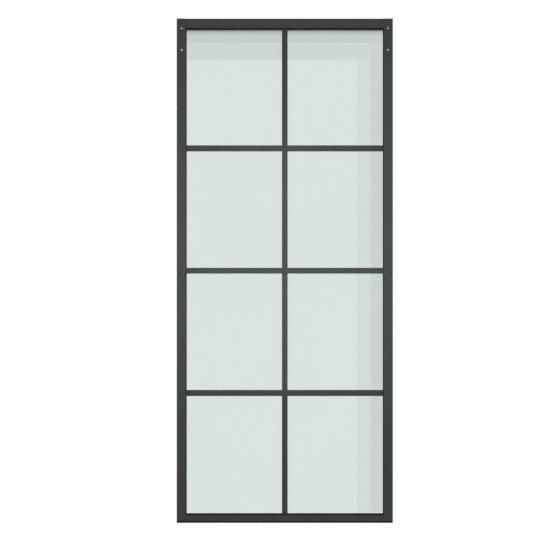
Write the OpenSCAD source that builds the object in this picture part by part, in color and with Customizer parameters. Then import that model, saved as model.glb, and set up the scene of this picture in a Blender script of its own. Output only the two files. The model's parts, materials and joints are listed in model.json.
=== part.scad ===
// Sliding glass door leaf: hollow aluminium stiles and rails round two glass panes,
// which stuck-on glazing bars divide into eight lites. Sizes are in millimetres.
// X runs across the leaf, Y through it with the front towards -Y, and Z up from the floor.

/* [Leaf] */
// Width over the stiles
leaf_w = 914.4; // [700:0.1:1200]
// Height over the end caps
leaf_h = 2133.6; // [1700:0.1:2600]
// Thickness of the stiles, the top rail and the bottom rail
leaf_t = 40; // [40:0.5:50]

/* [Stiles and rails] */
// Face width of a stile
stile_w = 38.4; // [38.4:0.2:60]
// Face width of the top rail
top_rail_w = 38.4; // [31.2:0.2:80]
// Face width of the bottom rail
bottom_rail_w = 31.2; // [31.2:0.2:120]
// Face width of the middle rail, which the glazing bars share
bar_w = 24; // [24:0.5:40]
// Wall of the hollow sections
wall = 1.8; // [1.5:0.1:2.2]
// Radius of the long edges of the sections
edge_r = 0.8; // [0.3:0.1:1.5]
// How far the top rail lies below the tops of the stiles
top_rail_drop = 0.7; // [0.1:0.1:3]
// How far the bottom rail lies above the feet of the stiles
bottom_rail_lift = 0.2; // [0.1:0.1:3]
// Gap in the joint between the upper and lower stiles
joint_gap = 0.4; // [0.2:0.1:1]
// Gap where a rail's end meets a stile
rail_end_gap = 0.1; // [0.05:0.05:0.3]

/* [Glazing] */
// Thickness of a pane
glass_t = 5; // [4:0.5:6]
// Radius of a pane's corners
glass_corner_r = 4; // [1:0.5:10]
// Width of the glazing groove
groove_w = 10.4; // [9:0.1:12.5]
// Depth of the glazing groove
groove_d = 8.5; // [7:0.1:8.5]
// Rubber between a pane's edge and the bottom of the groove
gasket_base = 2; // [1:0.1:4]
// How far the gasket stands out of the grooves of the stiles and the outer rails
gasket_lip = 2; // [0.5:0.1:4]
// How far it stands out of the middle rail's grooves
middle_lip = 0.3; // [0.2:0.1:2]
// Clearance between the gasket and the groove
gasket_fit = 0.1; // [0.05:0.05:0.3]

/* [Glazing bars] */
// Thickness of a glazing bar
bar_t = 5; // [4:0.5:12]
// Thickness of the mounting tape
tape_t = 1; // [0.5:0.1:2]
// Width of the mounting tape
tape_w = 18; // [10:0.5:22]
// Clearance round the ends of the bars
bar_fit = 0.2; // [0.1:0.05:0.5]

/* [Hanger holes] */
// Bore of the hanger bolt holes
hanger_hole_d = 14; // [9:0.1:14]
// Upper hole below the top of the leaf
hanger_hole_drop = 37.5; // [30:0.5:80]
// Distance between the upper and the lower hole
hanger_pitch = 91; // [60:0.5:200]
// Wall of the sleeves that the bolts pass through
sleeve_wall = 1.5; // [0.8:0.1:1.5]

/* [Joint in the stiles] */
// Length of a splice bar
splice_l = 240; // [160:1:400]
// Thickness of a splice bar
splice_t = 16; // [8:0.5:18]
// Clearance round a splice bar
splice_fit = 0.3; // [0.1:0.05:0.5]
// Inner splice screws from the joint
splice_screw_near = 40; // [35:1:60]
// Outer splice screws from the joint
splice_screw_far = 95; // [70:1:140]
// Thread of the splice screws
splice_screw_d = 5; // [4:0.5:6]
// Head of the splice screws
splice_head_d = 9.4; // [7:0.1:12]
// Length of the splice screws
splice_screw_l = 14; // [8:0.5:20]

/* [Rail screws] */
// Thread of the rail screws
rail_screw_d = 4.8; // [4:0.1:5]
// Head of the rail screws
rail_head_d = 8; // [7:0.1:8.2]
// Height of the rail screws' heads
rail_head_h = 3; // [2:0.1:5]
// Length of the rail screws under the head
rail_screw_l = 50; // [25:1:80]
// Screws of the top and bottom rails from the middle of the leaf's thickness
rail_screw_offset = 11.3; // [11.3:0.1:11.5]
// The same screws from the rails' outer faces
rail_screw_inset = 16; // [14:0.5:20]
// Outside of the screw ports in the top and bottom rails
port_d = 8.8; // [8.6:0.1:9.2]
// Access holes in the outer edges of the stiles
access_d = 10; // [9:0.1:12]
// Depth of the plugs in the access holes
plug_depth = 3; // [2.5:0.1:5]
// Clearance of screws and plugs in their holes
screw_fit = 0.1; // [0.05:0.05:0.2]

/* [End caps] */
// Thickness of an end cap's plate
cap_t = 1.2; // [0.8:0.1:3]
// Depth of an end cap's socket
cap_socket = 8; // [4:0.5:9]
// Wall of an end cap's socket
cap_wall = 2; // [1.2:0.1:3]
// Clearance between the socket and the stile
cap_fit = 0.2; // [0.1:0.05:0.5]

/* [Hidden] */
$fn = 48;
eps = 1; // how far a cut runs past the face that it leaves

frame_color = "#454545";
rubber_color = "#1c1c1c";
glass_color = [0.85, 0.89, 0.87, 0.5];
tape_color = "#3a3a3a";
steel_color = "#9aa0a4";
mill_color = "#b9bcbe";
plastic_color = "#2b2b2b";

// Places along the leaf
inner_x = leaf_w / 2 - stile_w;                   // inner face of a stile
middle_z = leaf_h / 2;                            // middle of the middle rail
joint_z = middle_z - bar_w / 2;                   // joint in the stiles, level with the rail's underside
top_rail_z = leaf_h - top_rail_drop;              // top face of the top rail
top_sight_z = top_rail_z - top_rail_w;            // underside of the top rail
bottom_rail_z = bottom_rail_lift;                 // underside of the bottom rail
bottom_sight_z = bottom_rail_z + bottom_rail_w;   // top face of the bottom rail
upper_sight = [middle_z + bar_w / 2, top_sight_z];
lower_sight = [bottom_sight_z, joint_z];
upper_bar_z = (upper_sight[0] + upper_sight[1]) / 2;
// Each pane's sight lines, how far its gasket stands out at both, and the height of its bar
upper_pane = [upper_sight, [middle_lip, gasket_lip], upper_bar_z];
lower_pane = [lower_sight, [gasket_lip, middle_lip], leaf_h - upper_bar_z];
rail_l = 2 * (inner_x - rail_end_gap);

// Depths from the middle of the leaf's thickness
half_t = leaf_t / 2;
half_groove = groove_w / 2;
gasket_half = half_groove - gasket_fit;
bar_back = glass_t / 2 + tape_t;
bar_front = bar_back + bar_t;                     // the middle rail's faces lie level with the bars'

// Places of the fasteners
screw_hole_d = rail_screw_d + 2 * screw_fit;
chamber_w = stile_w - groove_d;                   // from a stile's outer edge to the bottom of its groove
rail_screws_at = [                                // depth, height and the wall that the head bears on
    for (z = [top_rail_z - rail_screw_inset, bottom_rail_z + rail_screw_inset], side = [-1, 1])
        [side * rail_screw_offset, z, stile_w],
    [0, middle_z, chamber_w]
];
splice_screw_z = [for (d = [-splice_screw_far, -splice_screw_near, splice_screw_near, splice_screw_far]) joint_z + d];
hanger_u = stile_w / 2;
hanger_z = [leaf_h - hanger_hole_drop, leaf_h - hanger_hole_drop - hanger_pitch];
splice_u = wall + splice_fit;
head_depth = (splice_head_d - splice_screw_d) / 2;

// ---- Sections. A section has its outer edge at u = 0 along the first axis and the
// ---- leaf's thickness along the second.

// A rectangle with its corners rounded
module soft_rect(width, half) {
    translate([edge_r, -half]) square([width - 2 * edge_r, 2 * half]);
    translate([0, -half + edge_r]) square([width, 2 * (half - edge_r)]);
    for (u = [edge_r, width - edge_r], v = [edge_r - half, half - edge_r]) translate([u, v]) circle(edge_r);
}

// The hollow section of the stiles and the outer rails, with a chamber round its groove
module hollow_section(face_w) {
    difference() {
        soft_rect(face_w, half_t);
        difference() {
            translate([wall, wall - half_t]) square([face_w - 2 * wall, leaf_t - 2 * wall]);
            translate([face_w - groove_d - wall, -half_groove - wall]) square([groove_d + wall, groove_w + 2 * wall]);
        }
        translate([face_w - groove_d, -half_groove]) square([groove_d + eps, groove_w]);
    }
}

// The outer rails' section, with two screw ports tied to the front and back walls
module rail_section(face_w) {
    difference() {
        union() {
            hollow_section(face_w);
            for (side = [-1, 1]) {
                translate([rail_screw_inset, side * rail_screw_offset]) circle(d = port_d);
                translate([rail_screw_inset, side * (rail_screw_offset + half_t) / 2])
                    square([wall, half_t - rail_screw_offset], center = true);
            }
        }
        for (side = [-1, 1]) translate([rail_screw_inset, side * rail_screw_offset]) circle(d = screw_hole_d);
    }
}

// The middle rail's section: an H with a groove on both edges and a screw hole in its web
module middle_section() {
    difference() {
        soft_rect(bar_w, bar_front);
        for (u = [-eps, bar_w - groove_d]) translate([u, -half_groove]) square([groove_d + eps, groove_w]);
        translate([bar_w / 2, 0]) circle(d = screw_hole_d);
    }
}

// ---- Helpers

// Turns a section so that it grows up from its outer edge
module upright() {
    mirror([1, -1]) children();
}

// Runs an upright section along X between the stiles, with its outer edge at z
module rail_run(z) {
    translate([-rail_l / 2, 0, z]) rotate([90, 0, 90]) linear_extrude(rail_l) children();
}

// Puts the left side's pieces on the right side
module to_right() {
    mirror([1, 0, 0]) children();
}

// Repeats the left side's pieces on both sides
module both_sides() {
    children();
    to_right() children();
}

// Stands a cylinder along X from the left stile's outer edge, u being the depth into it
module across(u, y, z, d, l) {
    translate([u - leaf_w / 2, y, z]) rotate([0, 90, 0]) cylinder(d = d, h = l);
}

// The cone of a countersunk head, with clearance all round
module head_space(z, clear) {
    translate([-leaf_w / 2, 0, z]) rotate([0, 90, 0])
        cylinder(d1 = splice_head_d + 2 * clear, d2 = splice_screw_d + 2 * clear, h = head_depth);
}

// ---- Stiles

// The left stile between two heights, with the holes that fall in it
module stile(low, high) {
    color(frame_color) difference() {
        translate([-leaf_w / 2, 0, low]) linear_extrude(high - low) hollow_section(stile_w);
        for (z = hanger_z) if (z > low && z < high)
            translate([hanger_u - leaf_w / 2, 0, z]) rotate([90, 0, 0])
                cylinder(d = hanger_hole_d, h = leaf_t + 2 * eps, center = true);
        for (at = rail_screws_at) if (at[1] > low && at[1] < high) {
            across(-eps, at[0], at[1], access_d, wall + 2 * eps);
            across(at[2] - wall - eps, at[0], at[1], screw_hole_d, wall + 2 * eps);
        }
        for (z = splice_screw_z) if (z > low && z < high) {
            head_space(z, screw_fit);
            across(-eps, 0, z, splice_screw_d + 2 * screw_fit, wall + 2 * eps);
        }
    }
}

module stile_left_upper() {
    stile(joint_z + joint_gap / 2, leaf_h - cap_t);
}

module stile_left_lower() {
    stile(cap_t, joint_z - joint_gap / 2);
}

module stile_right_upper() {
    to_right() stile_left_upper();
}

module stile_right_lower() {
    to_right() stile_left_lower();
}

// ---- Rails

module top_rail() {
    color(frame_color) rail_run(top_rail_z) mirror([0, 1]) upright() rail_section(top_rail_w);
}

module middle_rail() {
    color(frame_color) rail_run(joint_z) upright() middle_section();
}

module bottom_rail() {
    color(frame_color) rail_run(bottom_rail_z) upright() rail_section(bottom_rail_w);
}

// ---- Glass and gaskets

// A slab across the leaf that grows by out past the sight lines, from one depth to another
module sight_slab(sight, out, y0, y1) {
    translate([-inner_x - out, y0, sight[0] - out])
        cube([2 * (inner_x + out), y1 - y0, sight[1] - sight[0] + 2 * out]);
}

// A slab that fills the window inside a pane's gasket, with clearance to the lips
module lip_slab(pane, clear, y0, y1) {
    low = pane[0][0] + pane[1][0] + clear;
    high = pane[0][1] - pane[1][1] - clear;
    half = inner_x - gasket_lip - clear;
    translate([-half, y0, low]) cube([2 * half, y1 - y0, high - low]);
}

// The glass of a pane, with its edges in the grooves and its corners rounded
module glass(pane) {
    bite = groove_d - gasket_fit - gasket_base;
    width = 2 * (inner_x + bite);
    height = pane[0][1] - pane[0][0] + 2 * bite;
    color(glass_color) translate([0, glass_t / 2, (pane[0][0] + pane[0][1]) / 2]) rotate([90, 0, 0])
        linear_extrude(glass_t) {
            square([width - 2 * glass_corner_r, height], center = true);
            square([width, height - 2 * glass_corner_r], center = true);
            for (x = [-1, 1], y = [-1, 1])
                translate([x * (width / 2 - glass_corner_r), y * (height / 2 - glass_corner_r)])
                    circle(glass_corner_r);
        }
}

// The channel of rubber that wraps round a pane's edge, with a lip on both faces
module gasket(pane) {
    out = groove_d - gasket_fit;
    color(rubber_color) difference() {
        sight_slab(pane[0], out, -gasket_half, gasket_half);
        sight_slab(pane[0], out - gasket_base, -glass_t / 2, glass_t / 2);
        lip_slab(pane, 0, -gasket_half - eps, gasket_half + eps);
    }
}

module glass_upper() {
    glass(upper_pane);
}

module glass_lower() {
    glass(lower_pane);
}

module gasket_upper() {
    gasket(upper_pane);
}

module gasket_lower() {
    gasket(lower_pane);
}

// ---- Glazing bars

// A cross of two bars within a pane's sight lines, between two depths
module cross(pane, y0, y1) {
    sight = pane[0];
    translate([-bar_w / 2, y0, sight[0] + bar_fit]) cube([bar_w, y1 - y0, sight[1] - sight[0] - 2 * bar_fit]);
    translate([bar_fit - inner_x, y0, pane[2] - bar_w / 2]) cube([2 * (inner_x - bar_fit), y1 - y0, bar_w]);
}

// A welded cross of flat bars on the back of a pane, notched over the gasket's lips
module grille(pane) {
    color(frame_color) difference() {
        cross(pane, bar_back, bar_front);
        difference() {
            sight_slab(pane[0], eps, 0, gasket_half + bar_fit);
            lip_slab(pane, bar_fit, -eps, leaf_t);
        }
    }
}

// Strips of double-sided tape under a cross: one upright and one to each side of it
module tape(pane) {
    end_gap = gasket_lip + bar_fit;
    low = pane[0][0] + pane[1][0] + bar_fit;
    high = pane[0][1] - pane[1][1] - bar_fit;
    color(tape_color) {
        translate([-tape_w / 2, glass_t / 2, low]) cube([tape_w, tape_t, high - low]);
        both_sides() translate([end_gap - inner_x, glass_t / 2, pane[2] - tape_w / 2])
            cube([inner_x - end_gap - tape_w / 2 - bar_fit, tape_t, tape_w]);
    }
}

// Puts the back's pieces on the front
module to_front() {
    mirror([0, 1, 0]) children();
}

module grille_upper_front() {
    to_front() grille(upper_pane);
}

module grille_upper_back() {
    grille(upper_pane);
}

module grille_lower_front() {
    to_front() grille(lower_pane);
}

module grille_lower_back() {
    grille(lower_pane);
}

module tape_upper_front() {
    to_front() tape(upper_pane);
}

module tape_upper_back() {
    tape(upper_pane);
}

module tape_lower_front() {
    to_front() tape(lower_pane);
}

module tape_lower_back() {
    tape(lower_pane);
}

// ---- The joint in the stiles

// A bar in the stile behind the joint, tapped for its screws and drilled for the rail screws
module splice_left() {
    depth = leaf_t - 2 * (wall + splice_fit);
    color(mill_color) difference() {
        translate([splice_u - leaf_w / 2, -depth / 2, joint_z - splice_l / 2])
            cube([splice_t, depth, splice_l]);
        across(splice_u - eps, 0, middle_z, access_d + 2 * wall, splice_t + 2 * eps);
        for (z = splice_screw_z) {
            head_space(z, screw_fit);
            across(splice_u - eps, 0, z, splice_screw_d + 2 * screw_fit, splice_t + 2 * eps);
        }
    }
}

module splice_right() {
    to_right() splice_left();
}

module splice_screws() {
    color(steel_color) both_sides() for (z = splice_screw_z) difference() {
        union() {
            head_space(z, 0);
            across(head_depth / 2, 0, z, splice_screw_d, splice_screw_l - head_depth / 2);
        }
        translate([-leaf_w / 2, 0, z]) rotate([0, 90, 0])
            cylinder(d = splice_screw_d * 0.66, h = 2 * head_depth, center = true, $fn = 6);
    }
}

// ---- Rail screws and their plugs

// The outer rails' screws bear on the stiles' inner walls, the middle rail's on the bottoms of their grooves
module rail_screws() {
    color(steel_color) both_sides() for (at = rail_screws_at) difference() {
        union() {
            across(at[2] - wall - rail_head_h, at[0], at[1], rail_head_d, rail_head_h);
            across(at[2] - wall - eps, at[0], at[1], rail_screw_d, rail_screw_l + eps);
        }
        translate([at[2] - wall - rail_head_h - leaf_w / 2, at[0], at[1]]) rotate([0, 90, 0])
            cylinder(d = rail_head_d / 2, h = rail_head_h, center = true, $fn = 6);
    }
}

// Cup-shaped plugs, flush with the stiles' edges, with a bead that snaps in behind the wall
module access_plugs() {
    body_d = access_d - 2 * screw_fit;
    color(plastic_color) both_sides() for (at = rail_screws_at) difference() {
        union() {
            across(0, at[0], at[1], body_d, plug_depth);
            across(wall, at[0], at[1], body_d + 4 * screw_fit, plug_depth - wall);
        }
        across(wall / 2, at[0], at[1], body_d - 2 * wall, plug_depth);
    }
}

// ---- Hanger sleeves

// Tubes between the front and back walls, which keep the bolts from crushing the stiles
module hanger_sleeves() {
    sleeve_l = leaf_t - 2 * (wall + screw_fit);
    color(steel_color) both_sides() for (z = hanger_z)
        translate([hanger_u - leaf_w / 2, 0, z]) rotate([90, 0, 0]) difference() {
            cylinder(d = hanger_hole_d + 2 * sleeve_wall, h = sleeve_l, center = true);
            cylinder(d = hanger_hole_d, h = sleeve_l + 2 * eps, center = true);
        }
}

// ---- End caps

// A cap with a plate over the stile's foot and a socket in the stile's main chamber
module cap_bottom_left() {
    low = [wall + cap_fit, wall + cap_fit - half_t];
    size = [chamber_w - 2 * (wall + cap_fit), leaf_t - 2 * (wall + cap_fit)];
    color(plastic_color) translate([-leaf_w / 2, 0, 0]) {
        linear_extrude(cap_t) soft_rect(stile_w, half_t);
        translate([0, 0, cap_t]) linear_extrude(cap_socket - cap_t) difference() {
            translate(low) square(size);
            translate([low[0] + cap_wall, low[1] + cap_wall]) square([size[0] - 2 * cap_wall, size[1] - 2 * cap_wall]);
        }
    }
}

module cap_bottom_right() {
    to_right() cap_bottom_left();
}

// Caps at the top, turned over
module cap_top_left() {
    translate([0, 0, leaf_h]) mirror([0, 0, 1]) cap_bottom_left();
}

module cap_top_right() {
    to_right() cap_top_left();
}

stile_left_upper();
stile_left_lower();
stile_right_upper();
stile_right_lower();
top_rail();
middle_rail();
bottom_rail();
glass_upper();
glass_lower();
gasket_upper();
gasket_lower();
grille_upper_front();
grille_upper_back();
grille_lower_front();
grille_lower_back();
tape_upper_front();
tape_upper_back();
tape_lower_front();
tape_lower_back();
splice_left();
splice_right();
splice_screws();
rail_screws();
access_plugs();
hanger_sleeves();
cap_top_left();
cap_top_right();
cap_bottom_left();
cap_bottom_right();
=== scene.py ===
import json
import math
import bpy
import numpy as np
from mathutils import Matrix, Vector


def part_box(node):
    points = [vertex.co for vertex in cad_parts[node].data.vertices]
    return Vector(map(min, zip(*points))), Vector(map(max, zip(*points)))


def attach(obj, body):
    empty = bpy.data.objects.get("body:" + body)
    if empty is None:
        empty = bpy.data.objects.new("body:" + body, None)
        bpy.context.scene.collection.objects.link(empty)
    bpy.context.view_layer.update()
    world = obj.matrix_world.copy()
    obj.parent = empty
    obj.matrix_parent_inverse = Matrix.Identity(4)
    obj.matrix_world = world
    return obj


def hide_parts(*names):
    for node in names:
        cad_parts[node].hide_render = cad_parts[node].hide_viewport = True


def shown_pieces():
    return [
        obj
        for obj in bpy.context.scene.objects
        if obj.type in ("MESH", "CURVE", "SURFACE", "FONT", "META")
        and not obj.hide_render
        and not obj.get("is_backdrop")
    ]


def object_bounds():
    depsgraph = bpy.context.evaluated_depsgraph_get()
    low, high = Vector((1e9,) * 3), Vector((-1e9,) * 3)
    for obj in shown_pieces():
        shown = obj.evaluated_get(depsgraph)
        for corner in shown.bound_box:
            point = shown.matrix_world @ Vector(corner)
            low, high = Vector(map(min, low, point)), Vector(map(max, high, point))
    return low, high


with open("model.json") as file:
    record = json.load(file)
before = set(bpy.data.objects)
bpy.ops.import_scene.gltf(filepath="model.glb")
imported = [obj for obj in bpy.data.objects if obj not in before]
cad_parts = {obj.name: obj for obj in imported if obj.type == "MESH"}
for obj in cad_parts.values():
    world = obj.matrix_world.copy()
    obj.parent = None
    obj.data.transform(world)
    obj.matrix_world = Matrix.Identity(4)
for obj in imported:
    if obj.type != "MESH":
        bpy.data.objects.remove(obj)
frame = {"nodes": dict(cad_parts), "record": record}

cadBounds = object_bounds()
scene = bpy.context.scene
doorLow, doorHigh = cadBounds
doorMiddle = (doorLow + doorHigh) / 2
print("frame loaded:", len(frame["nodes"]), "nodes")


def gridQuads(rows, cols, closeRows=False, closeCols=True):
    # quad (i, j) joins rows i and i+1 with columns j and j+1; a closed direction wraps to its start
    i = np.arange(rows if closeRows else rows - 1)[:, None]
    j = np.arange(cols if closeCols else cols - 1)[None, :]
    down, right = (i + 1) % rows, (j + 1) % cols
    return np.stack([i * cols + j, i * cols + right, down * cols + right, down * cols + j], -1).reshape(-1, 4)


def makePiece(name, points, faces, material, slot, sharpDeg=35, standsFor=()):
    # one closed mesh object at the origin, shaded smooth but for edges past sharpDeg
    mesh = bpy.data.meshes.new(name)
    mesh.from_pydata(np.asarray(points, float).reshape(-1, 3).tolist(), [], [list(f) for f in faces])
    mesh.validate()
    mesh.shade_smooth()
    mesh.set_sharp_from_angle(angle=math.radians(sharpDeg))
    mesh.materials.append(material)
    piece = bpy.data.objects.new(name, mesh)
    scene.collection.objects.link(piece)
    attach(piece, "root")
    if standsFor:
        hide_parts(*standsFor)
    return piece


def faceOutward(points, faces):
    # signed volume of the closed mesh, each face fanned from its first corner: negative means inside out
    p, volume = np.asarray(points, float).reshape(-1, 3), 0.0
    for size in sorted({len(f) for f in faces}):
        f = np.array([q for q in faces if len(q) == size])
        for k in range(1, size - 1):
            volume += np.einsum("ij,ij->", p[f[:, 0]], np.cross(p[f[:, k]], p[f[:, k + 1]]))
    return [list(f)[::-1] if volume < 0 else list(f) for f in faces]


def joinParts(parts):
    # stacks several (points, faces) into one, each part's indices moved past the ones before
    points, faces, count = [], [], 0
    for p, f in parts:
        p = np.asarray(p, float).reshape(-1, 3)
        points.append(p)
        faces += [[k + count for k in q] for q in f]
        count += len(p)
    return np.concatenate(points), faces


def turned(along, radius, centre, axis, steps, tube=False):
    # point(i, t) = centre + along[i] * axis + radius[i, t] * (cos t * side + sin t * up)
    # the first and last rows close to poles on the axis, or onto each other in a tube
    radius = np.asarray(radius, float)
    radius = np.broadcast_to(radius[:, None] if radius.ndim == 1 else radius, (len(along), steps))
    along, centre, axis = np.asarray(along, float), np.asarray(centre, float), np.asarray(axis, float)
    turn = np.linspace(0, 2 * np.pi, steps, endpoint=False)
    side = np.array([0, 0, 1.0])
    up = np.cross(axis, side)
    ring = np.cos(turn)[:, None] * side + np.sin(turn)[:, None] * up
    points = centre + along[:, None, None] * axis + radius[..., None] * ring[None]
    if tube:
        return points.reshape(-1, 3), faceOutward(points, gridQuads(len(along), steps, closeRows=True).tolist())
    rows = len(along) - 2
    body = points[1:-1].reshape(-1, 3)
    points = np.concatenate([body, points[[0, -1], 0]])
    j = np.arange(steps)
    last = (rows - 1) * steps
    faces = gridQuads(rows, steps).tolist()
    faces += np.stack([np.full(steps, rows * steps), (j + 1) % steps, j], -1).tolist()
    faces += np.stack([np.full(steps, rows * steps + 1), last + j, last + (j + 1) % steps], -1).tolist()
    return points, faceOutward(points, faces)


def roundedLoop(low, high, corner, steps):
    # rounded rectangle from low to high, walked once: each corner is a quarter circle in steps points
    turn = np.concatenate([np.linspace(k, k + 1, steps) * np.pi / 2 for k in range(4)])
    a = np.repeat([high[0] - corner, low[0] + corner, low[0] + corner, high[0] - corner], steps)
    b = np.repeat([high[1] - corner, high[1] - corner, low[1] + corner, low[1] + corner], steps)
    return np.stack([a + corner * np.cos(turn), b + corner * np.sin(turn)], -1)


class Nodes:
    # one material's node tree, with short ways to add its patterns
    def __init__(self, name):
        self.material = bpy.data.materials.new(name)
        self.material.use_nodes = True
        self.tree = self.material.node_tree
        self.shader = self.tree.nodes["Principled BSDF"]
        self.place = self.tree.nodes.new("ShaderNodeTexCoord").outputs["Object"]

    def link(self, a, b):
        self.tree.links.new(a, b)

    def stretched(self, x, y, z):
        node = self.tree.nodes.new("ShaderNodeMapping")
        node.inputs["Scale"].default_value = (x, y, z)
        self.link(self.place, node.inputs["Vector"])
        return node.outputs["Vector"]

    def noise(self, scale, detail=2.0, rough=0.5, place=None):
        node = self.tree.nodes.new("ShaderNodeTexNoise")
        node.inputs["Scale"].default_value = scale
        node.inputs["Detail"].default_value = detail
        node.inputs["Roughness"].default_value = rough
        self.link(place or self.place, node.inputs["Vector"])
        return node.outputs["Fac"]

    def cells(self, scale):
        node = self.tree.nodes.new("ShaderNodeTexVoronoi")
        node.inputs["Scale"].default_value = scale
        self.link(self.place, node.inputs["Vector"])
        return node.outputs["Distance"]

    def toned(self, fac, low, high, start=0.3, end=0.7):
        node = self.tree.nodes.new("ShaderNodeValToRGB")
        node.color_ramp.elements[0].position = start
        node.color_ramp.elements[1].position = end
        node.color_ramp.elements[0].color = (*low, 1)
        node.color_ramp.elements[1].color = (*high, 1)
        self.link(fac, node.inputs["Fac"])
        return node.outputs["Color"]

    def ranged(self, fac, low, high, start=0.3, end=0.7):
        node = self.tree.nodes.new("ShaderNodeMapRange")
        for key, value in (("From Min", start), ("From Max", end), ("To Min", low), ("To Max", high)):
            node.inputs[key].default_value = value
        self.link(fac, node.inputs["Value"])
        return node.outputs["Result"]

    def bumped(self, height, depth, after=None):
        node = self.tree.nodes.new("ShaderNodeBump")
        node.inputs["Distance"].default_value = depth
        node.inputs["Strength"].default_value = 1.0
        self.link(height, node.inputs["Height"])
        if after is not None:
            self.link(after, node.inputs["Normal"])
        return node.outputs["Normal"]

    def height(self):
        node = self.tree.nodes.new("ShaderNodeSeparateXYZ")
        self.link(self.place, node.inputs[0])
        return node.outputs["Z"]

    def near(self, z, reach):
        # 0 within reach of the height z, 1 elsewhere
        node = self.tree.nodes.new("ShaderNodeMath")
        node.operation = "COMPARE"
        self.link(self.height(), node.inputs[0])
        node.inputs[1].default_value = z
        node.inputs[2].default_value = reach
        return self.ranged(node.outputs[0], 1.0, 0.0, 0.0, 1.0)

    def scaled(self, colour, factor):
        node = self.tree.nodes.new("ShaderNodeVectorMath")
        node.operation = "SCALE"
        self.link(colour, node.inputs[0])
        self.link(factor, node.inputs["Scale"])
        return node.outputs[0]

    def times(self, a, b):
        node = self.tree.nodes.new("ShaderNodeMath")
        node.operation = "MULTIPLY"
        self.link(a, node.inputs[0])
        self.link(b, node.inputs[1])
        return node.outputs[0]

    def put(self, **values):
        for key, value in values.items():
            socket = self.shader.inputs[key.replace("_", " ")]
            if isinstance(value, bpy.types.NodeSocket):
                self.link(value, socket)
            else:
                socket.default_value = value
        return self.material


jointZ = (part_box("stile_left_lower")[1].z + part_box("stile_left_upper")[0].z) / 2
# the foot and joint entries set painted shade: how dark the leaf's foot is painted, the heights over which that
# painted shade fades out, and how far the painted shade reaches either side of the stiles' joint
coatLook = {"dark": (0.0320, 0.0342, 0.0342), "light": (0.0370, 0.0394, 0.0394), "peelPerMetre": 520.0,
            "grainPerMetre": 2600.0, "peelDepth": 0.00003, "grainDepth": 0.000012, "rough": (0.40, 0.50),
            "footShade": 0.0, "footLow": 0.0062, "footHigh": 0.0074, "jointShadeReach": 0.00065, "driftPerMetre": 3.0,
            "specular": 0.5}


def powderCoat():
    n = Nodes("charcoalPowderCoat")
    peel, grain = n.noise(coatLook["peelPerMetre"], 1.5, 0.45), n.noise(coatLook["grainPerMetre"], 2.0, 0.6)
    drift = n.noise(coatLook["driftPerMetre"], 2.0, 0.5)
    normal = n.bumped(peel, coatLook["peelDepth"])
    normal = n.bumped(grain, coatLook["grainDepth"], after=normal)
    # painted shade: the leaf's lowest millimetres are painted black and lose their shine, standing in for the shade
    # on its downward-facing bottom edge, and the two edges of the stiles' joint are painted dark the same way,
    # standing in for the shade in the joint's gap
    paintedFootShade = n.ranged(n.height(), coatLook["footShade"], 1.0, coatLook["footLow"], coatLook["footHigh"])
    shade = n.times(paintedFootShade, n.near(jointZ, coatLook["jointShadeReach"]))
    return n.put(Base_Color=n.scaled(n.toned(drift, coatLook["dark"], coatLook["light"]), shade),
                 Roughness=n.ranged(grain, *coatLook["rough"]), Normal=normal, IOR=1.5,
                 Specular_IOR_Level=n.ranged(shade, 0.0, coatLook["specular"], 0.0, 1.0))


# the rail's soft shade on the glass: (how far below the top rail in metres, how much of the light is left)
glassLook = {"clear": (0.708, 0.786, 0.765), "clearer": (0.714, 0.792, 0.771), "waveDepth": 0.000004, "lip": 0.002,
             "shade": ((0.0, 0.02), (0.0021, 0.08), (0.0064, 0.46), (0.0106, 0.76), (0.0148, 0.84), (0.019, 0.90),
                       (0.0233, 0.96), (0.0275, 1.0))}


def paneGlass():
    n = Nodes("temperedGlass")
    wave = n.noise(1.0, 0.0, 0.0, n.stretched(1.2, 1.2, 5.0))
    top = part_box("top_rail")[0].z - glassLook["lip"]
    deepest = glassLook["shade"][-1][0]
    curve = n.tree.nodes.new("ShaderNodeValToRGB")
    n.link(n.ranged(n.height(), 0.0, 1.0, top, top - deepest), curve.inputs["Fac"])
    while len(curve.color_ramp.elements) < len(glassLook["shade"]):
        curve.color_ramp.elements.new(0.5)
    for element, (depth, left) in zip(curve.color_ramp.elements, glassLook["shade"]):
        element.position = depth / deepest
        element.color = (left, left, left, 1)
    clear = n.toned(n.noise(1.3, 1.0), glassLook["clear"], glassLook["clearer"])
    return n.put(Base_Color=n.scaled(clear, curve.outputs["Color"]),
                 Roughness=0.0, IOR=1.5, Transmission_Weight=1.0,
                 Normal=n.bumped(wave, glassLook["waveDepth"]))


rubberLook = {"dark": (0.008, 0.008, 0.008), "light": (0.016, 0.016, 0.015), "rough": (0.52, 0.68),
              "skinPerMetre": 1500.0, "skinDepth": 0.00004, "driftPerMetre": 60.0}


def sealRubber():
    n = Nodes("glazingRubber")
    skin = n.noise(rubberLook["skinPerMetre"], 3.0, 0.6)
    drift = n.noise(rubberLook["driftPerMetre"], 3.0)
    return n.put(Base_Color=n.toned(drift, rubberLook["dark"], rubberLook["light"]), IOR=1.5,
                 Roughness=n.ranged(skin, *rubberLook["rough"]), Normal=n.bumped(skin, rubberLook["skinDepth"]))


tapeLook = {"dark": (0.012, 0.012, 0.012), "light": (0.035, 0.035, 0.035), "poresPerMetre": 1800.0,
            "poreDepth": 0.0001, "rough": 0.9}


def foamTape():
    n = Nodes("foamTape")
    pores = n.cells(tapeLook["poresPerMetre"])
    return n.put(Base_Color=n.toned(pores, tapeLook["dark"], tapeLook["light"], 0.1, 0.6), IOR=1.45,
                 Roughness=tapeLook["rough"], Normal=n.bumped(pores, tapeLook["poreDepth"]))


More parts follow.
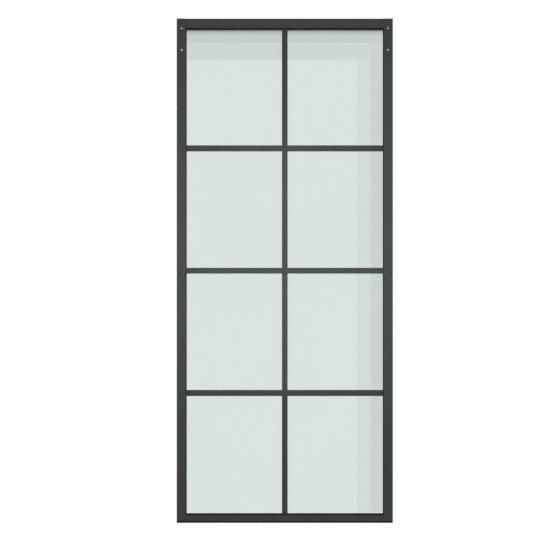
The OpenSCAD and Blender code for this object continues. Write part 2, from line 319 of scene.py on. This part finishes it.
# the joint entry sets how far the painted shade at the stiles' joint reaches
millLook = {"dark": (0.55, 0.56, 0.57), "light": (0.64, 0.645, 0.65), "rough": (0.28, 0.42), "lineDepth": 0.00002,
            "linesPerMetre": (1400.0, 1400.0, 9.0), "driftPerMetre": 25.0, "jointShadeReach": 0.0015}


def millAluminium():
    n = Nodes("millAluminium")
    lines = n.noise(1.0, 3.0, 0.65, n.stretched(*millLook["linesPerMetre"]))
    bare = n.toned(n.noise(millLook["driftPerMetre"], 3.0), millLook["dark"], millLook["light"])
    # painted shade: the splice is painted black near the stiles' joint, standing in for the shade in the joint's gap
    return n.put(Base_Color=n.scaled(bare, n.near(jointZ, millLook["jointShadeReach"])), Metallic=1.0,
                 Roughness=n.ranged(lines, *millLook["rough"]), Normal=n.bumped(lines, millLook["lineDepth"]))


zincLook = {"dark": (0.46, 0.47, 0.49), "light": (0.62, 0.62, 0.61), "rough": (0.24, 0.40), "spanglesPerMetre": 900.0,
            "smearsPerMetre": 700.0, "pitsPerMetre": 2500.0, "pitDepth": 0.00001}


def zincSteel():
    n = Nodes("zincPlatedSteel")
    spangle, smears = n.cells(zincLook["spanglesPerMetre"]), n.noise(zincLook["smearsPerMetre"], 3.0)
    pits = n.noise(zincLook["pitsPerMetre"], 2.0)
    return n.put(Base_Color=n.toned(spangle, zincLook["dark"], zincLook["light"], 0.1, 0.7), Metallic=1.0,
                 Roughness=n.ranged(smears, *zincLook["rough"]), Normal=n.bumped(pits, zincLook["pitDepth"]))


plasticLook = {"dark": (0.026, 0.026, 0.027), "light": (0.034, 0.034, 0.035), "rough": (0.45, 0.6),
               "sparksPerMetre": 3200.0, "sparkDepth": 0.00003, "driftPerMetre": 90.0}


def capPlastic():
    n = Nodes("mouldedPlastic")
    spark, drift = n.cells(plasticLook["sparksPerMetre"]), n.noise(plasticLook["driftPerMetre"], 2.0)
    return n.put(Base_Color=n.toned(drift, plasticLook["dark"], plasticLook["light"]), IOR=1.46,
                 Roughness=n.ranged(spark, *plasticLook["rough"], 0.1, 0.7),
                 Normal=n.bumped(spark, plasticLook["sparkDepth"]))


finishOf = {"powder_coat": powderCoat(), "glass": paneGlass(), "glazing_rubber": sealRubber(),
            "foam_tape": foamTape(), "mill_aluminium": millAluminium(), "zinc_steel": zincSteel(),
            "cap_plastic": capPlastic()}
for subpart in frame["record"]["subparts"]:
    cadNode = frame["nodes"][subpart["node"]]
    if not cadNode.material_slots:
        cadNode.data.materials.append(None)
    for s in cadNode.material_slots:
        s.material = finishOf[subpart["material_slot"]]
print("finishes given to the CAD nodes")


# glazing seals: a soft-lipped channel carried round each pane's edge
sealShape = {"lip": 0.002, "middleLip": 0.0003, "lipRise": 0.0009, "tipRound": 0.0004, "cornerSteps": 7,
             "tipCorner": 0.0006, "backCorner": 0.006}


def sealPiece(name, node, paneNode, sightX, sight, lips):
    # section points are (share of the lip stood out, distance out past the sight line, depth), from the pane's
    # edge round the lip's tip and back; the section is mirrored to the other face and carried round the pane
    low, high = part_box(node)
    paneLow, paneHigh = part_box(paneNode)
    glassHalf = (paneHigh.y - paneLow.y) / 2
    halfDepth = (high.y - low.y) / 2
    outside = (high.x - low.x) / 2 - sightX
    bite = (paneHigh.x - paneLow.x) / 2 - sightX
    rise, r = glassHalf + sealShape["lipRise"], sealShape["tipRound"]
    arc = np.linspace(0, np.pi / 2, 5)
    half = [(0, bite, 0.0), (0, bite, glassHalf), (1, 0, glassHalf)]
    half += [(1, 0.0003 * (1 - math.cos(a)) * 0.5, rise - r + r * math.sin(a)) for a in arc]
    half += [(0.1, 0, rise + 0.0001), (0, 0.0004, halfDepth - 0.0006), (0, 0.0010, halfDepth),
             (0, 0.0026, halfDepth), (0, 0.0030, halfDepth - 0.0005), (0, 0.0034, halfDepth),
             (0, outside - 0.0008, halfDepth), (0, outside, halfDepth - 0.0008), (0, outside, 0.0)]
    half = np.array(half)
    section = np.concatenate([half, (half * [1, 1, -1])[-2:0:-1]])
    rows = []
    for stood, out, depth in section:
        share = (out + (1 - stood) * sealShape["lip"]) / (outside + sealShape["lip"])
        corner = sealShape["tipCorner"] + share * (sealShape["backCorner"] - sealShape["tipCorner"])
        reach = stood * np.array([sealShape["lip"], *lips])
        halfX = sightX + out - reach[0]
        loop = roundedLoop((-halfX, sight[0] - out + reach[1]), (halfX, sight[1] + out - reach[2]), corner,
                           sealShape["cornerSteps"])
        rows.append(np.insert(loop, 1, depth, axis=1))
    points = np.array(rows) + np.array([(low.x + high.x) / 2, (low.y + high.y) / 2, 0])
    faces = faceOutward(points, gridQuads(len(rows), points.shape[1], closeRows=True).tolist())
    return makePiece(name, points, faces, finishOf["glazing_rubber"], "glazing_rubber", 50, (node,))


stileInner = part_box("stile_right_upper")[0].x
topRail, middleRail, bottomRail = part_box("top_rail"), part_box("middle_rail"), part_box("bottom_rail")
upperSight = (middleRail[1].z, topRail[0].z)
lowerSight = (bottomRail[1].z, middleRail[0].z)
lipSizes = (sealShape["lip"], sealShape["middleLip"])
sealPiece("sealUpper", "gasket_upper", "glass_upper", stileInner, upperSight, lipSizes[::-1])
sealPiece("sealLower", "gasket_lower", "glass_lower", stileInner, lowerSight, lipSizes)
print("seals made")


# glazing bar crosses: one rounded-edge outline walked round the cross, ring by ring

barShape = {"edgeRound": 0.0008, "steps": 5}


def crossPiece(name, node, barZ):
    low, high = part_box(node)
    halfBar = (middleRail[1].z - middleRail[0].z) / 2
    cx, ax = (low.x + high.x) / 2, (high.x - low.x) / 2
    up, down = high.z - barZ, low.z - barZ
    # outline round the bars' crossing as (x, z); its signs tell which way an inset moves each corner
    outline = np.array([(ax, -halfBar), (ax, halfBar), (halfBar, halfBar), (halfBar, up), (-halfBar, up),
                        (-halfBar, halfBar), (-ax, halfBar), (-ax, -halfBar), (-halfBar, -halfBar),
                        (-halfBar, down), (halfBar, down), (halfBar, -halfBar)])
    inward = -np.sign(outline)
    r = barShape["edgeRound"]
    turn = np.linspace(0, np.pi / 2, barShape["steps"])
    inset = np.concatenate([r * (1 - np.cos(turn))[::-1], r * (1 - np.cos(turn))])
    depth = np.concatenate([low.y + r - r * np.sin(turn)[::-1], high.y - r + r * np.sin(turn)])
    rings = outline[None] + inset[:, None, None] * inward[None]
    points = np.empty((len(inset), 12, 3))
    points[..., 0], points[..., 2] = rings[..., 0] + cx, rings[..., 1] + barZ
    points[..., 1] = depth[:, None]
    faces = gridQuads(len(inset), 12).tolist()
    lids = [[2, 5, 8, 11], [0, 1, 2, 11], [2, 3, 4, 5], [5, 6, 7, 8], [8, 9, 10, 11]]
    last = (len(inset) - 1) * 12
    faces += [f[::-1] for f in lids] + [[k + last for k in f] for f in lids]
    faces = faceOutward(points, faces)
    return makePiece(name, points, faces, finishOf["powder_coat"], "powder_coat", 30, (node,))


upperBarZ = (upperSight[0] + upperSight[1]) / 2
barHeights = {"upper": upperBarZ, "lower": doorLow.z + doorHigh.z - upperBarZ}
for pane, barZ in barHeights.items():
    for face in ("front", "back"):
        crossPiece(f"bars{pane.title()}{face.title()}", f"grille_{pane}_{face}", barZ)
print("glazing bars made")


# moulded end caps: a plate with a rounded rim over the stile's end, and a socket that goes into it
capShape = {"plate": 0.0012, "rim": 0.0006, "corner": 0.0008, "socketFrom": 0.002, "socketWide": 0.0259,
            "socketWall": 0.002, "socketCorner": 0.0015, "steps": 6}


def capPiece(name, node, left, top):
    # the plate is its outline, inset by rim * (1 - sin t) while it rises by rim * cos t; the socket is a tube
    low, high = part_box(node)
    c, steps = capShape, capShape["steps"]
    outer, away = (high.z, -1) if top else (low.z, 1)
    turn = np.linspace(0, np.pi / 2, steps)
    insets = np.concatenate([c["rim"] * (1 - np.sin(turn)), [0, 0.0002]])
    rises = np.concatenate([c["rim"] * (1 - np.cos(turn)), [c["plate"] - 0.0002, c["plate"]]])
    rings = []
    for inset, rise in zip(insets, rises):
        loop = roundedLoop((low.x + inset, low.y + inset), (high.x - inset, high.y - inset), c["corner"], steps)
        rings.append(np.insert(loop, 2, outer + away * rise, axis=1))
    plate = np.array(rings)
    count = plate.shape[1]
    faces = gridQuads(len(rings), count).tolist()
    lid = list(range(count))
    faces += [lid[::-1], [k + (len(rings) - 1) * count for k in lid]]
    start = low.x + c["socketFrom"] if left else high.x - c["socketFrom"] - c["socketWide"]
    tall = high.z - low.z
    tube = []
    root, wall = c["plate"] - 0.0001, c["socketWall"]
    for inset, rise in ((0, root), (0, tall - 0.0006), (0.0006, tall), (wall - 0.0003, tall), (wall, tall - 0.0003),
                        (wall, root)):
        loop = roundedLoop((start + inset, low.y + c["socketFrom"] + inset),
                           (start + c["socketWide"] - inset, high.y - c["socketFrom"] - inset),
                           c["socketCorner"] if inset < 0.001 else 0.0006, steps)
        tube.append(np.insert(loop, 2, outer + away * rise, axis=1))
    tube = np.array(tube)
    tubeFaces = faceOutward(tube, gridQuads(len(tube), tube.shape[1], closeRows=True).tolist())
    points, faces = joinParts([(plate, faceOutward(plate, faces)), (tube, tubeFaces)])
    return makePiece(name, points, faces, finishOf["cap_plastic"], "cap_plastic", 40, (node,))


for end in ("top", "bottom"):
    for side in ("left", "right"):
        capPiece(f"cap{end.title()}{side.title()}", f"cap_{end}_{side}", side == "left", end == "top")
print("end caps made")


# places along the stiles that the fasteners share: height, depth and the side's sign
fastenerPlaces = {"railInset": 0.016, "railOffset": 0.0113, "spliceNear": 0.040, "spliceFar": 0.095}
jointZ = middleRail[0].z
middleZ = (middleRail[0].z + middleRail[1].z) / 2
outerPlaces = [(y * fastenerPlaces["railOffset"], z) for y in (-1, 1) for z in (
    topRail[1].z - fastenerPlaces["railInset"], bottomRail[0].z + fastenerPlaces["railInset"])]
spliceHeights = [jointZ + k * fastenerPlaces[d] for d in ("spliceNear", "spliceFar") for k in (-1, 1)]

# plugs in the access holes: a turned cup with a dished face, a soft rim and a bead that snaps in
plugShape = {"radius": 0.0049, "bead": 0.0051, "inside": 0.0031, "depth": 0.003, "dish": 0.0004, "steps": 48}


def plugAt(sign, y, z):
    p = plugShape
    r, bead, inside = p["radius"], p["bead"], p["inside"]
    along = [p["dish"], p["dish"], p["dish"] / 2, 0, 0, 0.0001, 0.0004, 0.0008, 0.0018, 0.0020, 0.0026,
             p["depth"], p["depth"], 0.0010, 0.0009, 0.0009]
    radius = [0, r * 0.45, r * 0.55, r * 0.62, r * 0.84, r - 0.0003, r - 0.0001, r, r, bead, bead,
              r - 0.0002, inside, inside, inside - 0.0001, 0]
    return turned(along, radius, (sign * doorHigh.x, y, z), (-sign, 0, 0), p["steps"])


plugParts = [plugAt(sign, y, z) for sign in (-1, 1) for y, z in outerPlaces + [(0.0, middleZ)]]
makePiece("accessPlugs", *joinParts(plugParts), finishOf["cap_plastic"], "cap_plastic", 40, ("access_plugs",))

# screws with a hexagon socket and a rolled thread
spliceScrew = {"head": 0.0047, "shank": 0.0025, "length": 0.014, "thread": 0.0003, "pitch": 0.0008,
               "socket": 0.00143, "socketDeep": 0.0018, "steps": 36}
railScrew = {"head": 0.004, "headTall": 0.003, "shank": 0.0024, "length": 0.050, "thread": 0.0005, "pitch": 0.0018,
             "socket": 0.00173, "socketDeep": 0.0014, "steps": 30}


def screwAt(look, headProfile, start, sign, x, y, z):
    # the socket's radius is socket / cos(t - nearest flat); the thread's is
    # shank - thread * (1 - |2 frac(along / pitch - t / 2 pi) - 1|), faded out at both of its ends
    steps = look["steps"]
    turn = np.linspace(0, 2 * np.pi, steps, endpoint=False)
    flat = np.pi / 3
    hexagon = look["socket"] / np.cos((turn + flat / 2) % flat - flat / 2)
    head = [(look["socketDeep"], 0 * turn), (look["socketDeep"], hexagon * 0.98), (0.00008, hexagon),
            (0, hexagon * 1.06)]
    head += [(a, np.full(steps, r)) for a, r in headProfile]
    a = np.arange(start, look["length"] - look["shank"] * 0.6, look["pitch"] / 6)
    share = (a[:, None] / look["pitch"] - turn[None] / (2 * np.pi)) % 1
    fade = np.clip(np.minimum(a - start, a[-1] - a) / look["pitch"], 0, 1)[:, None]
    thread = look["shank"] - look["thread"] * (1 - np.abs(2 * share - 1)) * fade
    tip = [(look["length"], np.full(steps, look["shank"] * 0.45)), (look["length"], 0 * turn)]
    along = np.array([r[0] for r in head] + list(a) + [r[0] for r in tip])
    radius = np.concatenate([[r[1] for r in head], thread, [r[1] for r in tip]])
    return turned(along, radius, (sign * x, y, z), (-sign, 0, 0), steps)


coneEnd = spliceScrew["head"] - spliceScrew["shank"]
conedHead = [(0, spliceScrew["head"] - 0.0003), (0.00012, spliceScrew["head"] - 0.0001),
             (0.0003, spliceScrew["head"] - 0.0003), (coneEnd, spliceScrew["shank"])]
spliceParts = [screwAt(spliceScrew, conedHead, coneEnd + 0.0003, sign, doorHigh.x, 0.0, z)
               for sign in (-1, 1) for z in spliceHeights]
makePiece("spliceScrews", *joinParts(spliceParts), finishOf["zinc_steel"], "zinc_steel", 40, ("splice_screws",))

panHead = [(0, railScrew["head"] - 0.0012), (0.0003, railScrew["head"] - 0.0005),
           (0.0009, railScrew["head"] - 0.0001), (0.0015, railScrew["head"]),
           (railScrew["headTall"] - 0.0002, railScrew["head"]), (railScrew["headTall"], railScrew["head"] - 0.0002),
           (railScrew["headTall"], railScrew["shank"])]
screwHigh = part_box("rail_screws")[1]
railLook = dict(railScrew, length=railScrew["length"] + railScrew["headTall"])
railHeads = [(stileInner + 0.0018 + railScrew["headTall"], y, z) for y, z in outerPlaces]
railHeads.append((screwHigh.x, 0.0, middleZ))
railParts = [screwAt(railLook, panHead, railScrew["headTall"] + 0.0004, sign, *head)
             for sign in (-1, 1) for head in railHeads]
makePiece("railScrews", *joinParts(railParts), finishOf["zinc_steel"], "zinc_steel", 40, ("rail_screws",))

# sleeves of the hanger bolts: turned tubes with chamfered mouths
sleeveShape = {"bore": 0.007, "outside": 0.0085, "chamfer": 0.0004, "fromTop": 0.0375, "apart": 0.091, "steps": 64}
sleeveLow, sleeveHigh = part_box("hanger_sleeves")
s, tubes = sleeveShape, []
half = (sleeveHigh.y - sleeveLow.y) / 2
sleeveProfile = [(s["chamfer"], s["bore"]), (0, s["bore"] + s["chamfer"]), (0, s["outside"] - s["chamfer"]),
                 (s["chamfer"], s["outside"]), (2 * half - s["chamfer"], s["outside"]),
                 (2 * half, s["outside"] - s["chamfer"]), (2 * half, s["bore"] + s["chamfer"]),
                 (2 * half - s["chamfer"], s["bore"])]
for sign in (-1, 1):
    for z in (doorHigh.z - s["fromTop"], doorHigh.z - s["fromTop"] - s["apart"]):
        x = sign * (sleeveHigh.x - s["outside"])
        tubes.append(turned([p[0] for p in sleeveProfile], [p[1] for p in sleeveProfile],
                            (x, sleeveLow.y, z), (0, 1, 0), s["steps"], tube=True))
makePiece("hangerSleeves", *joinParts(tubes), finishOf["zinc_steel"], "zinc_steel", 30, ("hanger_sleeves",))
print("plugs, screws and sleeves made")


# studio: a camera level with the door's middle, a white room that only the camera sees, and soft lights
studio = {"distance": 3.86, "frameWidth": 2.3262, "frameShift": (-0.01778, -0.00782), "shell": 14.0,
          "roomWhite": 1.02, "roomMirrored": 0.03, "skyFront": 0.54, "skyBack": 0.15, "horizon": 0.25}
front = Vector((doorMiddle.x, doorLow.y, doorMiddle.z))
cameraData = bpy.data.cameras.new("camera")
cameraData.sensor_width = 36.0
cameraData.lens = 36.0 * studio["distance"] / studio["frameWidth"]
cameraData.shift_x, cameraData.shift_y = studio["frameShift"]
cameraData.clip_end = 100.0
camera = bpy.data.objects.new("camera", cameraData)
camera.location = front + Vector((0, -studio["distance"], 0))
camera.rotation_euler = (math.pi / 2, 0, 0)
scene.collection.objects.link(camera)
scene.camera = camera


def roomGlow(name, brightness):
    # as bright as given where seen or looked at through a pane, dim in what the metal mirrors
    m = bpy.data.materials.new(name)
    m.use_nodes = True
    t = m.node_tree
    t.nodes.clear()
    path, dim = t.nodes.new("ShaderNodeLightPath"), t.nodes.new("ShaderNodeMapRange")
    glow, out = t.nodes.new("ShaderNodeEmission"), t.nodes.new("ShaderNodeOutputMaterial")
    dim.inputs["To Min"].default_value = brightness
    dim.inputs["To Max"].default_value = studio["roomMirrored"]
    t.links.new(path.outputs["Glossy Depth"], dim.inputs["Value"])
    t.links.new(dim.outputs["Result"], glow.inputs["Strength"])
    t.links.new(glow.outputs["Emission"], out.inputs["Surface"])
    return m


def roomSheet(name, corners, material, direct=True):
    mesh = bpy.data.meshes.new(name)
    mesh.from_pydata(corners, [], [(0, 1, 2, 3)])
    mesh.materials.append(material)
    sheet = bpy.data.objects.new(name, mesh)
    scene.collection.objects.link(sheet)
    sheet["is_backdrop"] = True
    sheet.visible_camera = direct
    for kind in ("diffuse", "glossy", "shadow", "volume_scatter"):
        setattr(sheet, "visible_" + kind, False)


paleWhite = roomGlow("paleWhite", studio["roomWhite"])
r = studio["shell"]
for name, corners in (
        ("floor", [(-r, -r, 0), (r, -r, 0), (r, r, 0), (-r, r, 0)]),
        ("wallBack", [(-r, r, -r), (r, r, -r), (r, r, r), (-r, r, r)]),
        ("wallFront", [(-r, -r, -r), (r, -r, -r), (r, -r, r), (-r, -r, r)]),
        ("wallLeft", [(-r, -r, -r), (-r, r, -r), (-r, r, r), (-r, -r, r)]),
        ("wallRight", [(r, -r, -r), (r, r, -r), (r, r, r), (r, -r, r)]),
        ("ceiling", [(-r, -r, r), (r, -r, r), (r, r, r), (-r, r, r)])):
    roomSheet(name, corners, paleWhite)

# glowing sheets behind the door, seen through the panes only, that paint stepped shade bands along the top and right
# of the glass: how far each stops short of the right stile and the top rail on the glass, in metres, and its
# brightness, from the farthest sheet to the nearest
shadeBandSheets = {"behind": 0.18, "apart": 0.01, "reach": 8.0, "sheets": (
    (-9.0, -9.0, 0.826), (-9.0, 0.064, 0.867), (0.055, 0.064, 0.906), (0.055, 0.136, 0.949), (0.114, 0.136, 1.02))}


def paintShadeBands():
    # a sheet's edge shows on the glass at its own place * d / (d + its distance behind), d being the camera's
    d, reach = studio["distance"], shadeBandSheets["reach"]
    for k, (right, top, brightness) in enumerate(shadeBandSheets["sheets"]):
        behind = shadeBandSheets["behind"] - k * shadeBandSheets["apart"]
        grow = (d + behind) / d
        x = min((stileInner - right) * grow, reach)
        z = min(front.z + (topRail[0].z - front.z - top) * grow, reach)
        y = front.y + behind
        corners = [(-reach, y, -reach), (x, y, -reach), (x, y, z), (-reach, y, z)]
        roomSheet(f"shadeBand{k}", corners, roomGlow(f"shadeBandGlow{k}", brightness), direct=False)


paintShadeBands()

# the sky's brightness goes from skyFront on the front's side to skyBack behind the door
world = bpy.data.worlds.new("studioLight")
scene.world = world
world.use_nodes = True
wt = world.node_tree
spot, split = wt.nodes.new("ShaderNodeTexCoord"), wt.nodes.new("ShaderNodeSeparateXYZ")
ramp = wt.nodes.new("ShaderNodeMapRange")
ramp.interpolation_type = "SMOOTHSTEP"
for key, value in (("From Min", -studio["horizon"]), ("From Max", studio["horizon"]),
                   ("To Min", studio["skyFront"]), ("To Max", studio["skyBack"])):
    ramp.inputs[key].default_value = value
wt.links.new(spot.outputs["Generated"], split.inputs[0])
wt.links.new(split.outputs["Y"], ramp.inputs["Value"])
wt.nodes["Background"].inputs["Color"].default_value = (1, 1, 1, 1)
wt.links.new(ramp.outputs["Result"], wt.nodes["Background"].inputs["Strength"])

metalNodes = bpy.data.collections.new("metalNodes")
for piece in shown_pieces():
    if not piece.name.startswith("glass_"):
        metalNodes.objects.link(piece)


def softbox(name, place, aim, size, power):
    light = bpy.data.lights.new(name, "AREA")
    light.shape = "RECTANGLE"
    light.size, light.size_y = size
    light.energy = power
    box = bpy.data.objects.new(name, light)
    box.location = place
    box.rotation_euler = (Vector(aim) - Vector(place)).to_track_quat("-Z", "Y").to_euler()
    scene.collection.objects.link(box)
    for kind in ("camera", "transmission"):
        setattr(box, "visible_" + kind, False)
    # the panes stay free of its mirror image
    box.light_linking.receiver_collection = metalNodes


keyBox = {"place": (0.0, -1.5, 1.2), "size": (1.4, 1.5), "power": 9.5}
softbox("keyBox", keyBox["place"], (0.0, 0.0, keyBox["place"][2]), keyBox["size"], keyBox["power"])

scene.view_settings.view_transform = "Standard"
print("studio set")
